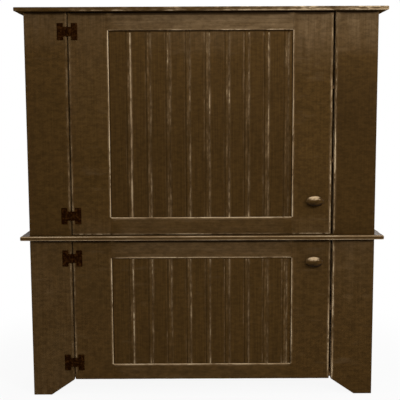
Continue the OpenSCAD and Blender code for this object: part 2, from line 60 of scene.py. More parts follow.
# Sizes that the boxes of the nodes don't give, in metres
FOOT_W = 0.084
FOOT_H = 0.074
SIDE_FOOT_W = 0.084
SIDE_FOOT_RUN = 0.060
FOOT_FADE = 0.16  # the slope of a foot is spread over this height
FIRST_BOARD_W = 0.0775
BEAD_PITCH = 0.0897
BEAD_COUNT = 9
BEAD_W = 0.015
QUIRK_W = 0.003
QUIRK_D = 0.002
PANEL_RECESS = 0.007
PANEL_T = 0.010
GROOVE_D = 0.010
GROOVE_PLAY = 0.002  # left free above the panel
BACK_LAP = 0.008
BACK_CLEARANCE = 0.0004  # lets the nail heads show without passing the case
PANEL_GAP = 0.0002  # between two panel boards
HINGE_BAR_W = 0.028
HINGE_TONGUE_H = 0.042
LEAF_T = 0.0025
KNUCKLE_R = 0.004
KNUCKLE_GAP = 0.0004

# Arrises: how far they are rounded, and where the rub line lies on them, as a share of that
SHARP = 0.0006
PLAIN = 0.001
EASED = 0.0025
SOFT = 0.003
ROUND = 0.006
BLUNT = 0.008
CROWN = 0.35
SHOULDER = 1.0
# How much the rounding varies along an arris, over which length, and its limits
UNEVEN, UNEVEN_LENGTH = 0.2, 0.07
LEAST_R = 0.0004
MOST_R_SHARE = 0.46  # of the board's thickness

# Edge loops beside an arris, as shares of its radius, and how much of the board they may take up
ARRIS_LOOPS = (0, CROWN, 0.7, 1, 1.6, 3, 6)
ARRIS_SHARE = 0.4
TURN_GAP = 0.002  # from a place where the rubbing of an arris changes to the loops beside it

# The waves that the plane left on the faces: their depth, the furthest they go, and their length
WAVE, MOST_WAVE, WAVE_LENGTH = 0.00012, 0.0004, 0.22
PANEL_WAVE, PANEL_WAVE_LENGTH = 0.0002, 0.12

# Added to a distance before it is inverted for a weight
SOFTEN = 0.0004

# Each board's grain is shifted by up to this many metres along every axis
GRAIN_SPREAD = 3

# How many waves a ripple is made of, and what their sum is divided by
RIPPLE_WAVES, RIPPLE_SUM = 7, 2.6

# The usual range of a noise value
NOISE_LOW, NOISE_HIGH = 0.3, 0.7

# Points closer than this are one point
SAME = 1e-6

# Faces that meet at more than this angle meet sharply
CREASE = math.radians(50)


def colour(red, green, blue):
    """A linear colour from 0 to 255 values as they look on a screen."""
    def linear(value):
        value /= 255
        return value / 12.92 if value <= 0.04045 else ((value + 0.055) / 1.055) ** 2.4
    return (linear(red), linear(green), linear(blue), 1.0)


def seed_of(name):
    """The same number for the same name in every run."""
    return zlib.crc32(name.encode())


def ripple(points, wavelength, seed):
    """A smooth irregular value, mostly between -1 and 1, at each point."""
    rng = np.random.default_rng(seed)
    total = np.zeros(len(points))
    for _ in range(RIPPLE_WAVES):
        direction = rng.normal(size=3)
        direction *= rng.uniform(0.6, 1.6) * 2 * math.pi / (wavelength * np.linalg.norm(direction))
        total += np.sin(points @ direction + rng.uniform(0, 2 * math.pi))
    return total / RIPPLE_SUM


def fading(distance, full, gone):
    """1 up to the distance full, then evenly down to 0 at the distance gone."""
    return np.clip((gone - distance) / (gone - full), 0, 1)


# Materials

class Nodes:
    """The nodes of a material or a world, and short calls that add to them."""

    def __init__(self, owner):
        self.owner = owner
        owner.use_nodes = True
        self.tree = owner.node_tree
        self.shader = self.tree.nodes.get("Principled BSDF")

    def put(self, socket, value):
        """Give a socket a value, or link it to another socket."""
        if isinstance(value, bpy.types.NodeSocket):
            self.tree.links.new(value, socket)
        elif isinstance(value, tuple):
            socket.default_value = value[:len(socket.default_value)]
        else:
            socket.default_value = value

    def add(self, kind, inputs, output=0, **settings):
        """An output of a new node with these inputs and settings."""
        node = self.tree.nodes.new("ShaderNode" + kind)
        for key, value in settings.items():
            setattr(node, key, value)
        for key, value in inputs.items():
            self.put(node.inputs[key], value)
        return node.outputs[output]

    def number(self, name):
        return self.add("Attribute", {}, "Fac", attribute_name=name)

    def vector(self, name):
        return self.add("Attribute", {}, "Vector", attribute_name=name)

    def place(self):
        return self.add("TexCoord", {}, "Object")

    def stretch(self, at, x, y, z):
        return self.add("VectorMath", {0: at, 1: (x, y, z)}, operation="MULTIPLY")

    def noise(self, at, scale, detail=3.0, roughness=0.5):
        return self.add("TexNoise", {"Vector": at, "Scale": scale, "Detail": detail,
                                     "Roughness": roughness}, "Fac")

    def math(self, operation, a, b=0.0):
        return self.add("Math", {0: a, 1: b}, operation=operation)

    def ramp(self, value, low, high, to_low=0.0, to_high=1.0):
        return self.add("MapRange", {"Value": value, "From Min": low, "From Max": high,
                                     "To Min": to_low, "To Max": to_high},
                        interpolation_type="SMOOTHSTEP")

    def spread(self, noise, low, high):
        """A value that goes from low to high as a noise goes through its usual range."""
        return self.ramp(noise, NOISE_LOW, NOISE_HIGH, low, high)

    def mix(self, factor, a, b):
        """The colours a and b, which are sockets 6 and 7, mixed by the factor."""
        return self.add("Mix", {0: factor, 6: a, 7: b}, 2, data_type="RGBA")

    def tone(self, base, noise, low, high):
        """The base colour times a value that the noise takes from low to high."""
        level = self.spread(noise, low, high)
        return self.add("VectorMath", {0: base, "Scale": level}, operation="SCALE")

    def bump(self, height, strength, distance):
        normal = self.add("Bump", {"Height": height, "Strength": strength, "Distance": distance})
        self.put(self.shader.inputs["Normal"], normal)

    def finish(self, base, roughness, **uniform):
        self.put(self.shader.inputs["Base Color"], base)
        self.put(self.shader.inputs["Roughness"], roughness)
        for key, value in uniform.items():
            socket = key.replace("_", " ").title().replace("Ior", "IOR")
            self.shader.inputs[socket].default_value = value
        return self.owner

    def ray(self, kind):
        """1 for rays of the kind, 0 for others."""
        return self.add("LightPath", {}, f"Is {kind} Ray")


PAINT = colour(60, 42, 18)
# Thin paint colour, also used for the painted sheen where the pale value is high
THIN_PAINT_AND_SHEEN = colour(107, 87, 62)
# Grime colour, also used for painted shadow under the overhangs and in the panel recesses, and for
# darker paint where the pale value is below zero
GRIME_AND_SHADOW = colour(25, 13, 2)
BARE_LIGHT = colour(182, 160, 128)
BARE_DARK = colour(134, 110, 80)
IRON = colour(20, 6, 0)
IRON_BROWN = colour(52, 29, 9)
KNOB_STAIN = colour(56, 38, 14)
# The knob's painted highlight on top and painted shade on its underside
KNOB_HIGHLIGHT = colour(180, 154, 120)
KNOB_SHADE = colour(20, 8, 0)

# The colour of the gloss where it is seen straight on
PAINT_GLEAM = (1.0, 0.64, 0.36, 1.0)
IRON_GLEAM = (1.0, 0.6, 0.3, 1.0)
KNOB_GLEAM = (1.0, 0.72, 0.42, 1.0)

# The floor's half width, the distances from its middle between which it turns white, and how white
# it is at both
FLOOR_REACH = 30
FLOOR_FADE = (1.0, 1.9)
FLOOR_WHITE = (0.92, 1.0)
FLOOR_GREY = (0.6, 0.6, 0.6, 1.0)
# How strongly the surround lights what isn't seen straight or in a mirror
SURROUND_LIGHT = 0.28
WHITE = (1, 1, 1, 1)

# How far from a rub line the wear, the haze of thin paint and the painted shadow with its grime
# reach, in metres
WEAR_REACH = 0.0055
HAZE_REACH = 0.013
SHADOW_FULL, SHADOW_REACH = 0.006, 0.017


def bare_wood(m, grain, light, dark, along):
    """Wood with its lines along the grain, and the value that made them."""
    lines = m.noise(m.stretch(grain, along, 95, 95), 1.0, 5, 0.6)
    return m.mix(m.ramp(lines, 0.35, 0.65), dark, light), lines


def worn_paint(name, gloss, brushed, mottled):
    """Dark waxed paint over wood. Near a rub line it is rubbed through where the rub value is high,
    and carries painted shadow with grime where that is below zero. It is lighter where the pale
    value is high, from thin paint and painted sheen, and darker where that is below zero. Brushed
    and mottled tell how strong its two kinds of marks are."""
    m = Nodes(bpy.data.materials.new(name))
    grain, place = m.vector("grain"), m.place()
    edge, rub, pale = m.number("edge"), m.number("rub"), m.number("pale")
    clouds = m.noise(grain, 3.1, 3)
    brush = m.noise(m.stretch(grain, 4, 170, 170), 1.0, 4, 0.6)
    mottle = m.noise(m.stretch(place, 36, 36, 72), 1.0, 4, 0.7)
    smears = m.noise(m.stretch(place, 5, 5, 22), 1.0, 3, 0.6)
    streaks = m.noise(m.stretch(grain, 6, 42, 42), 1.0, 2)
    chips = m.noise(m.stretch(grain, 34, 90, 90), 1.0, 6, 0.62)

    paint = m.tone(PAINT, clouds, 0.96, 1.04)
    paint = m.tone(paint, brush, 1 - brushed, 1 + brushed)
    paint = m.tone(paint, mottle, 1 - mottled, 1 + mottled)
    # Thin paint and painted sheen where the pale value is high
    thin_and_sheen = m.math("MULTIPLY", pale, m.spread(streaks, 0.7, 1.3))
    thin_and_sheen = m.math("MULTIPLY", thin_and_sheen, m.spread(brush, 0.75, 1.25))
    thin_and_sheen = m.math("MULTIPLY", thin_and_sheen, m.spread(mottle, 0.7, 1.3))
    thin_and_sheen = m.math("ADD", thin_and_sheen, m.ramp(smears, 0.56, 0.8, 0, 0.2))
    paint = m.mix(thin_and_sheen, paint, THIN_PAINT_AND_SHEEN)
    # Darker paint where the pale value is below zero
    paint = m.mix(m.math("MULTIPLY", pale, -1.0), paint, GRIME_AND_SHADOW)
    # Painted shadow, with grime, near rub lines whose rub value is below zero: under the cornice and
    # the waist board and in the panel recesses
    soil_and_shadow = m.math("MULTIPLY", m.ramp(edge, SHADOW_FULL, SHADOW_REACH, -1, 0), rub)
    paint = m.mix(m.ramp(soil_and_shadow, 0, 1, 0, 0.9), paint, GRIME_AND_SHADOW)

    patchy = m.math("MULTIPLY", rub, m.ramp(streaks, 0.32, 0.68, 0.6, 1.35))
    patchy = m.math("MULTIPLY", patchy, m.spread(chips, 0.62, 1.38))
    worn = m.math("MULTIPLY", m.ramp(edge, 0.0, WEAR_REACH, 1, 0), patchy)
    hazy = m.math("MULTIPLY", m.ramp(edge, 0.0, HAZE_REACH, 1, 0), patchy)
    bare = m.ramp(worn, 0.5, 0.85)
    wood, _ = bare_wood(m, grain, BARE_LIGHT, BARE_DARK, 5)
    base = m.mix(m.ramp(hazy, 0.1, 0.9, 0, 0.6), paint, THIN_PAINT_AND_SHEEN)
    base = m.mix(m.ramp(worn, 0.3, 0.6, 0, 0.7), base, THIN_PAINT_AND_SHEEN)
    base = m.mix(bare, base, wood)

    relief = m.math("ADD", m.math("MULTIPLY", brush, 0.6), m.math("MULTIPLY", bare, -0.5))
    relief = m.math("ADD", relief, m.math("MULTIPLY", m.noise(grain, 420, 2), 0.25))
    m.bump(relief, 0.25, 0.0006)
    rough = m.math("ADD", m.spread(clouds, 0.46, 0.54), m.math("MULTIPLY", bare, 0.2))
    return m.finish(base, rough, specular_ior_level=gloss, specular_tint=PAINT_GLEAM)


def plain_wood(name, light, dark, roughness):
    """Unpainted wood with growth lines, long darker patches and darker arrises. Boards differ in
    tone by their pale value."""
    m = Nodes(bpy.data.materials.new(name))
    grain, edge = m.vector("grain"), m.number("edge")
    wood, lines = bare_wood(m, grain, light, dark, 1.3)
    rings = m.add("TexWave", {"Vector": m.stretch(grain, 0.7, 14, 14), "Scale": 1.0,
                              "Distortion": 5.0, "Detail": 2.0}, "Fac")
    wood = m.tone(wood, rings, 0.9, 1.08)
    wood = m.tone(wood, m.noise(m.stretch(grain, 1.5, 6, 6), 1.0, 3), 0.82, 1.16)
    own_tone = m.ramp(m.number("pale"), -0.5, 0.5, NOISE_LOW, NOISE_HIGH)
    wood = m.tone(wood, own_tone, 0.8, 1.2)
    wood = m.tone(wood, m.ramp(edge, 0.0, 0.005, 0.3, 0.6), 0.5, 1.12)
    m.bump(m.math("ADD", lines, m.math("MULTIPLY", rings, 0.4)), 0.35, 0.0006)
    return m.finish(wood, m.spread(lines, roughness - 0.08, roughness + 0.08),
                    specular_ior_level=0.3)


def black_iron(name):
    """Blackened iron with hammer marks and brown patches."""
    m = Nodes(bpy.data.materials.new(name))
    place = m.place()
    dents = m.add("TexVoronoi", {"Vector": place, "Scale": 165.0, "Smoothness": 0.6}, "Distance",
                  feature="SMOOTH_F1")
    scale = m.noise(place, 520, 4, 0.6)
    rust = m.ramp(m.noise(place, 85, 4, 0.7), 0.44, 0.7)
    relief = m.math("ADD", m.math("MULTIPLY", dents, 1.2), m.math("MULTIPLY", scale, 0.25))
    m.bump(relief, 0.4, 0.0009)
    return m.finish(m.mix(rust, IRON, IRON_BROWN), m.spread(scale, 0.5, 0.68),
                    specular_ior_level=0.015, specular_tint=IRON_GLEAM)


def steel(name, base, tarnish):
    """Bare metal with a patchy tarnish."""
    m = Nodes(bpy.data.materials.new(name))
    place = m.place()
    patches = m.noise(place, 90, 4, 0.6)
    fine = m.noise(place, 900, 2)
    m.bump(fine, 0.2, 0.0002)
    return m.finish(m.mix(m.ramp(patches, 0.4, 0.65), base, tarnish),
                    m.ramp(patches, 0.35, 0.7, 0.34, 0.6), metallic=0.9)


def waxed_knob(name):
    """Turned wood, stained dark and waxed, with turning lines. It has a painted highlight where its
    shading value is high, and painted shade where that is low."""
    m = Nodes(bpy.data.materials.new(name))
    grain, rub = m.vector("grain"), m.number("rub")
    clouds = m.noise(grain, 60, 3)
    rings = m.noise(m.stretch(grain, 700, 60, 60), 1.0, 3, 0.6)
    base = m.tone(KNOB_STAIN, clouds, 0.8, 1.2)
    base = m.tone(base, rings, 0.92, 1.08)
    uneven = m.math("ADD", rub, m.spread(clouds, -0.08, 0.08))
    # Painted highlight where the value is high, painted shade where it is low
    base = m.mix(m.ramp(uneven, 0.62, 0.93, 0, 0.95), base, KNOB_HIGHLIGHT)
    base = m.mix(m.ramp(uneven, 0.17, 0.52, 0.98, 0), base, KNOB_SHADE)
    m.bump(rings, 0.12, 0.0003)
    return m.finish(base, m.spread(clouds, 0.16, 0.22), specular_ior_level=0.14,
                    specular_tint=KNOB_GLEAM)


def floor_paint(name):
    """Pale floor that shows the shadow near the object and is plain white further away."""
    m = Nodes(bpy.data.materials.new(name))
    away = m.add("VectorMath", {0: m.place()}, "Value", operation="LENGTH")
    far = m.ramp(away, *FLOOR_FADE, *FLOOR_WHITE)
    speck = m.noise(m.place(), 30, 3)
    m.finish(m.tone(FLOOR_GREY, speck, 0.99, 1.01), 0.9, specular_ior_level=0.0)
    share = m.math("MULTIPLY", far, m.ray("Camera"))
    glow = m.add("Emission", {"Color": WHITE, "Strength": 1.0})
    both = m.add("MixShader", {0: share, 1: m.shader.outputs[0], 2: glow})
    m.put(m.tree.nodes["Material Output"].inputs["Surface"], both)
    return m.owner


# Mesh pieces

AXES = {"x": 0, "y": 1, "z": 2}


class Shell:
    """Points and faces of one solid, with where each point lies in the grain, and for each point
    how far the nearest rub line is, how rubbed that is, or below zero how much painted shadow it
    has, and how pale the paint is from thin paint and painted sheen, or else 0. On a knob the rub
    value holds its painted highlight and painted shade instead."""

    def __init__(self, points, faces, grain, edge=None, rub=None, pale=None):
        self.points, self.faces, self.grain = np.array(points), faces, np.array(grain)
        self.edge, self.rub, self.pale = (np.zeros(len(points)) if values is None else values
                                          for values in (edge, rub, pale))


# How an end or a side of a board is rubbed, or below zero how much painted shadow it has, how
# far its arrises are rounded and where its rub line lies, between the places start and end along
# it
Rub = namedtuple("Rub", "strength radius line start end",
                 defaults=(EASED, CROWN, -math.inf, math.inf))
CRISP = Rub(0.0, SHARP)

# Paint that is neither paler nor darker, as in the table of paleness and sheen below
EVEN = ((0, 0), (1, 0))


def loops(low, high, radii, step, marks=()):
    """Places of the edge loops from low to high: close together by the two arrises, which have the
    given radii, and one at each mark."""
    room = ARRIS_SHARE * (high - low)
    near = [[share * radius for share in ARRIS_LOOPS if share * radius < room] for radius in radii]
    start, end = low + near[0][-1], high - near[1][-1]
    middle = np.linspace(start, end, max(1, math.ceil((end - start) / step)) + 1)
    places = [low + d for d in near[0]] + list(middle) + [high - d for d in near[1]] + list(marks)
    return np.unique(np.round(places, 6))


def lattice(stops):
    """Points and faces of a box whose three axes are cut at the given stops."""
    index, points, faces = {}, [], []

    def corner(key):
        if key not in index:
            index[key] = len(points)
            points.append([stops[axis][key[axis]] for axis in range(3)])
        return index[key]

    for axis in range(3):
        u, v = [other for other in range(3) if other != axis]
        for level in (0, len(stops[axis]) - 1):
            for i in range(len(stops[u]) - 1):
                for j in range(len(stops[v]) - 1):
                    face = []
                    for du, dv in ((0, 0), (1, 0), (1, 1), (0, 1)):
                        key = [0, 0, 0]
                        key[axis], key[u], key[v] = level, i + du, j + dv
                        face.append(corner(tuple(key)))
                    faces.append(face)
    return np.array(points), faces


def board_shell(name, low, high, grain, edges=(CRISP,) * 4, step=0.03, foot=None, back=0.3,
                reach=1.0, faces=(1.0, 1.0), run=(1.0, 1.0), pale=EVEN):
    """A planed board from low to high. Grain names the axes along, across and through the board.
    Edges tells how its two ends and two sides are rubbed, or carry painted shadow. Foot gives the
    lower end as (place across, height) points. Back is how round the arrises of the face at the high
    side are, as a share of those of the other face. Reach stretches the wear beside the rub lines.
    Faces tells how rubbed the low and the high face are, run how rubbed the board is at the start
    and the end of its length, and pale how pale its paint is from thin paint and painted sheen, as
    (share of the length, value) points."""
    order = [AXES[letter] for letter in grain]
    lo, hi = np.array(low)[order], np.array(high)[order]
    spans = [[], [], []]
    for side, given in enumerate(edges):
        spans[1 if side < 2 else 0] += [at + d for at in (given.start, given.end)
                                        if math.isfinite(at) for d in (-TURN_GAP, TURN_GAP)]
    thick = max(given.radius for given in edges)
    stops = [loops(lo[0], hi[0], (edges[0].radius, edges[1].radius), step, spans[0]),
             loops(lo[1], hi[1], (edges[2].radius, edges[3].radius), step,
                   spans[1] + [place for place, _ in (foot or ())[1:-1]]),
             loops(lo[2], hi[2], (thick, thick), step)]
    flat, quads = lattice(stops)
    to_low, to_high = flat - lo, hi - flat
    gaps = np.stack([to_low[:, 0], to_high[:, 0], to_low[:, 1], to_high[:, 1]], axis=1)

    weights = 1 / (gaps + SOFTEN) ** 2
    weights /= weights.sum(axis=1)[:, None]
    strengths, radii, lines = np.zeros_like(gaps), np.zeros_like(gaps), np.zeros_like(gaps)
    for side, given in enumerate(edges):
        place = flat[:, 1] if side < 2 else flat[:, 0]
        inside = (place > given.start) & (place < given.end)
        strengths[:, side] = np.where(inside, given.strength, 0)
        radii[:, side] = np.where(inside, given.radius, SHARP)
        lines[:, side] = given.radius * given.line
    share, along = to_low[:, 2] / (hi - lo)[2], to_low[:, 0] / (hi - lo)[0]
    rub = (weights * strengths).sum(axis=1) * (faces[0] + (faces[1] - faces[0]) * share)
    rub *= run[0] + (run[1] - run[0]) * along
    edge = np.sort(np.minimum(to_low, to_high), axis=1)[:, 1]
    edge = np.abs(edge - (weights * lines).sum(axis=1)) / reach

    seed = seed_of(name)
    radius = (weights * radii).sum(axis=1) * (1 + (back - 1) * share)
    radius *= 1 + UNEVEN * ripple(flat, UNEVEN_LENGTH, seed)
    radius = np.clip(radius, LEAST_R, MOST_R_SHARE * (hi - lo)[2])[:, None]
    core = np.clip(flat, lo + radius, hi - radius)
    away = flat - core
    solid = core + radius * away / np.linalg.norm(away, axis=1)[:, None]
    inward = np.sign((lo + hi) / 2 - solid)
    wave = WAVE * (1 + ripple(flat, WAVE_LENGTH, seed + 1))
    solid[:, 2] += inward[:, 2] * np.clip(wave, 0, MOST_WAVE)

    if foot:
        across, heights = zip(*foot)
        rise = np.interp(flat[:, 1], across, heights)
        solid[:, 0] += rise * fading(solid[:, 0] - lo[0], 0, FOOT_FADE)

    rng = np.random.default_rng(seed + 2)
    laid = flat + rng.uniform(-GRAIN_SPREAD, GRAIN_SPREAD, size=3)
    points = np.empty_like(solid)
    points[:, order] = solid
    return Shell(points, quads, laid, edge, rub, np.interp(along, *zip(*pale)))


def piece(name, shells, material, body, node):
    """One object made of one or more shells, which rides on the body and stands for the node."""
    if isinstance(shells, Shell):
        shells = [shells]
    mesh = bpy.data.meshes.new(name)
    faces, start = [], 0
    for shell in shells:
        faces += [[start + corner for corner in face] for face in shell.faces]
        start += len(shell.points)
    mesh.from_pydata(np.concatenate([shell.points for shell in shells]).tolist(), [], faces)
    for key in ("grain", "edge", "rub", "pale"):
        values = np.concatenate([getattr(shell, key) for shell in shells]).astype(np.float32)
        kind, field = ("FLOAT_VECTOR", "vector") if values.ndim > 1 else ("FLOAT", "value")
        mesh.attributes.new(key, kind, "POINT").data.foreach_set(field, values.ravel())
    dress(name, mesh, material, body, node)


def dress(name, mesh, material, body, node):
    """An object from the mesh, with outward faces, a material, a body and its node."""
    bm = bmesh.new()
    bm.from_mesh(mesh)
    bmesh.ops.recalc_face_normals(bm, faces=bm.faces)
    bm.to_mesh(mesh)
    bm.free()
    mesh.shade_smooth()
    mesh.set_sharp_from_angle(angle=CREASE)
    mesh.materials.append(material)
    made = bpy.data.objects.new(name, mesh)
    bpy.context.scene.collection.objects.link(made)
    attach(made, body)
    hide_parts(node)


def islands(node):
    """The corners of each separate solid in a node, as arrays of points."""
    bm = bmesh.new()
    bm.from_mesh(nodes[node].data)
    bmesh.ops.remove_doubles(bm, verts=bm.verts, dist=SAME)
    found, seen = [], set()
    for first in bm.verts:
        if first in seen:
            continue
        group, queue = [], [first]
        seen.add(first)
        while queue:
            vertex = queue.pop()
            group.append(vertex.co[:])
            for edge in vertex.link_edges:
                other = edge.other_vert(vertex)
                if other not in seen:
                    seen.add(other)
                    queue.append(other)
        found.append(np.array(group))
    bm.free()
    return sorted(found, key=lambda points: tuple(np.round(points.min(axis=0), 4)))


def tube(rows, count):
    """Faces between rows of count points each, and a cap at either end."""
    faces = [[row * count + i, row * count + (i + 1) % count,
              (row + 1) * count + (i + 1) % count, (row + 1) * count + i]
             for row in range(rows - 1) for i in range(count)]
    return faces + [list(range(count)), [(rows - 1) * count + i for i in reversed(range(count))]]


# Across a panel board, as (place, depth): the floor of the quirk before the bead, the arris after
# the bead, counted from that arris, and the far edge, counted back from it
QUIRK_FLOOR = ((0, QUIRK_D + 0.0004), (0.0011, QUIRK_D + 0.0002))
BEAD_ARRIS = ((-0.0009, QUIRK_D), (-0.0002, 0.0009), (0.0003, 0.0002))
FAR_EDGE = ((0.0004, 0.0003), (0, 0.0011))
BEAD_POINTS = 11

# Places of a panel board's edge loops: from the arris after the bead, back from the far edge, and
# away from the rails
FLAT_START = (0.001, 0.004, 0.008, 0.014, 0.026)
FLAT_END = (0.026, 0.014, 0.010, 0.0075, 0.005, 0.0025)
RAIL_LOOPS = np.array([0.0015, 0.004, 0.007, 0.012])

# The least and the most that the arris before a bead and the bead's crest are rubbed
JOINT_RUB = (0.2, 0.4)
CREST_RUB = (0.26, 0.4)

# The wear beside a bead is stretched, less so where the bead is more rubbed: rubs and stretches
BEAD_REACH = ((0.5, 0.8), (1.2, 0.95))

# Distances from the stiles and from the top rail up to which the painted shadow in a panel's
# recess is full, and at which it is gone, and how strong it has to be to hide the wear
SIDE_SHADOW = (0.003, 0.006)
TOP_SHADOW = (0.005, 0.009)
LEAST_SHADOW = 0.05

# How much more a panel is rubbed at its lower and its upper rail, how far that reaches, and what
# its rub is multiplied by at the bottom and at the top
RAIL_RUB = (0.6, 0.4)
RAIL_RUB_REACH = 0.012
RISING_RUB = (0.82, 1.06)

# How far down from the top rail a panel has painted sheen, and how far a patch of painted
# sheen goes down from the middle of that rail. The patch has its middle at this board and spreads
# over this many
PALE_REACH = 0.5
PATCH_REACH = 0.2
PATCH_BOARD, PATCH_SPREAD = 4.2, 2.8


def bead_section(width, first):
    """Points across one panel board, as (place, depth): a quirk, a bead, a quirk and the flat. The
    first board has no bead. Also the places of the bead's crest and of the arris after it."""
    half = BEAD_W / 2
    crest, after = QUIRK_W + half, 2 * QUIRK_W + BEAD_W
    section = []
    if first:
        after = 0.0
    else:
        section += QUIRK_FLOOR
        section += [(crest + half * math.sin(a), QUIRK_D * (1 - math.cos(a)))
                    for a in np.linspace(-math.pi / 2, math.pi / 2, BEAD_POINTS)]
        section += [(after + place, depth) for place, depth in BEAD_ARRIS]
    section += [(after + d, 0.0) for d in FLAT_START] + [(width - d, 0.0) for d in FLAT_END]
    section += [(width - place, depth) for place, depth in FAR_EDGE]
    return section, crest, after


def panel_shells(door, top_shadow, pale):
    """The beaded boards of a door's panel, from the hinge stile to the knob stile. The top shadow
    value is how much painted shadow they have along the top rail. The pale value tells how pale
    their paint is everywhere, darker below zero, and the painted sheen added to that towards the
    top rail and by the middle of it."""
    low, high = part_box(f"{door}_door_panel_boards")
    left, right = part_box(f"{door}_door_hinge_stile")[1].x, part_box(f"{door}_door_knob_stile")[0].x
    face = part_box(f"{door}_door_hinge_stile")[0].y + PANEL_RECESS
    open_low, open_high = low.z + GROOVE_D, high.z - GROOVE_D + GROOVE_PLAY
    joints = [left + FIRST_BOARD_W + k * BEAD_PITCH for k in range(BEAD_COUNT)]
    starts = [low.x] + joints + [high.x]
    heights = loops(low.z, high.z, (SHARP, SHARP), 0.02,
                    np.concatenate([open_low + RAIL_LOOPS, open_high - RAIL_LOOPS,
                                    [open_low, open_high]]))
    up, down = heights - open_low, open_high - heights
    level = (1 + RAIL_RUB[0] * np.exp(-np.maximum(0, up) / RAIL_RUB_REACH)
             + RAIL_RUB[1] * np.exp(-np.maximum(0, down) / RAIL_RUB_REACH))
    level *= np.interp(heights, (open_low, open_high), RISING_RUB)
    # Painted shadow under the top rail
    rail_shadow = top_shadow * fading(down, *TOP_SHADOW)
    shells = []
    for k, (start, end) in enumerate(zip(starts, starts[1:])):
        rng = np.random.default_rng(seed_of(f"{door} panel {k}"))
        width = end - start - PANEL_GAP
        section, crest, after = bead_section(width, k == 0)
        front = len(section)
        section += [(width, PANEL_T), (0, PANEL_T)]
        across, depth = np.array(section).T
        own = BEAD_RUB[door][max(k - 1, 0)]
        marks, strengths = [width], [rng.uniform(*JOINT_RUB)]
        if k:
            marks = [crest, after] + marks
            strengths = [rng.uniform(*CREST_RUB), own] + strengths
        gaps = np.abs(across[:, None] - marks)
        weights = 1 / (gaps + SOFTEN) ** 2
        rub = (weights * strengths).sum(axis=1) / weights.sum(axis=1)
        rub = rub[None, :] * level[:, None]
        # Painted shadow in the recess along the stiles and under the top rail, which hides the wear
        border = np.minimum(start + across - left, right - start - across)
        recess_shadow = np.maximum(fading(border, *SIDE_SHADOW)[None, :], rail_shadow[:, None])
        rub = np.where(recess_shadow > LEAST_SHADOW, -recess_shadow, rub)
        reach = np.interp(own, *BEAD_REACH)
        edge = np.where(rub < 0, 0, gaps.min(axis=1)[None, :] / reach)
        # Paleness: darker below zero, and painted sheen towards the top rail and by its middle
        patch = math.exp(-((k - PATCH_BOARD) / PATCH_SPREAD) ** 2)
        haze_and_sheen = (pale[0] + pale[1] * fading(down, 0, PALE_REACH)
                + pale[2] * patch * fading(down, 0, PATCH_REACH))

        rows, count = len(heights), len(section)
        x, z = np.tile(start + across, rows), np.repeat(heights, count)
        y = np.tile(face + depth, rows)
        points = np.stack([x, y, z], axis=1)
        waves = ripple(points, PANEL_WAVE_LENGTH, seed_of(f"{door} face {k}"))
        shown = np.tile(np.arange(count) < front, rows)
        points[:, 1] += np.where(shown, PANEL_WAVE * (1 + waves), 0)
        laid = np.stack([z, x, y], axis=1) + rng.uniform(-GRAIN_SPREAD, GRAIN_SPREAD, size=3)
        shells.append(Shell(points, tube(rows, count), laid, edge.ravel(), rub.ravel(),
                            np.repeat(haze_and_sheen, count)))
    return shells


# Rings of a knob's stem, as (distance from the door, half width, half height)
KNOB_STEM = ((0.0, 0.012, 0.012), (0.0015, 0.012, 0.012), (0.0035, 0.0105, 0.0105),
             (0.006, 0.009, 0.009), (0.009, 0.0085, 0.0085), (0.0115, 0.0091, 0.0085))
# Distances from the door at which its oval cap starts and is widest, and its points around
KNOB_CAP, KNOB_WIDEST = 0.0128, 0.0217
KNOB_SIDES = 56


def knob_shell(node):
    """An oval turned knob: a round stem that swells into an oval cap. Its shading value gives a
    painted highlight on top, a little to the left, and painted shade on its underside that reaches
    up further at the left."""
    low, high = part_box(node)
    centre = (low + high) / 2
    half_w, half_h, out = (high.x - low.x) / 2, (high.z - low.z) / 2, high.y - low.y
    rings, neck = list(KNOB_STEM), KNOB_STEM[-1][2]
    for angle in np.radians(np.linspace(-80, 0, 9)):
        rise, share = math.sin(angle), math.cos(angle) ** 0.8
        rings.append((KNOB_WIDEST + (KNOB_WIDEST - KNOB_CAP) * rise,
                      neck + (half_w - neck) * share, neck + (half_h - neck) * share))
    for angle in np.radians(np.linspace(9, 88, 11)):
        rise, share = math.sin(angle), math.cos(angle)
        rings.append((KNOB_WIDEST + (out - KNOB_WIDEST) * rise, half_w * share, half_h * share))
    points, grain, rub = [], [], []
    for depth, wide, tall in rings:
        for i in range(KNOB_SIDES):
            angle = 2 * math.pi * i / KNOB_SIDES
            x, z = wide * math.cos(angle), tall * math.sin(angle)
            points.append((centre.x + x, high.y - depth, centre.z + z))
            grain.append((depth, x, z))
            # Shading value: a painted highlight on top, a little to the left, and painted shade
            # underneath, reaching further up at the left
            up, aside = z / half_h, x / half_w
            rub.append(0.5 + up / 2 - 0.36 * max(0, up) * (aside + 0.12) ** 2
                       + 0.16 * max(0, -up) * aside)
    return Shell(points, tube(len(rings), KNOB_SIDES), grain, rub=np.array(rub))


# Hinge leaves: the step from the pin's middle to the plate, the radii of the plate's corners, of
# its rim and of the knuckles' rims, and how deep and long the dents are
LEAF_ROOT = 0.0008
LEAF_CORNER_R = 0.0018
LEAF_RIM_R = 0.0007
KNUCKLE_RIM_R = 0.0006
KNUCKLE_SIDES = 28
DENT_DEPTH = 0.00013
DENT_LENGTH = 0.012
# The grid that is cut into a leaf for its dents: its pitch, and its distance from both ends
GRID, GRID_START, GRID_END = 0.0055, 0.004, 0.001
# Edges that turn by more than this many radians are rims
SHARP_TURN = 1.0
# Points closer than this to a line or plane lie on it
NEARLY = 1e-4


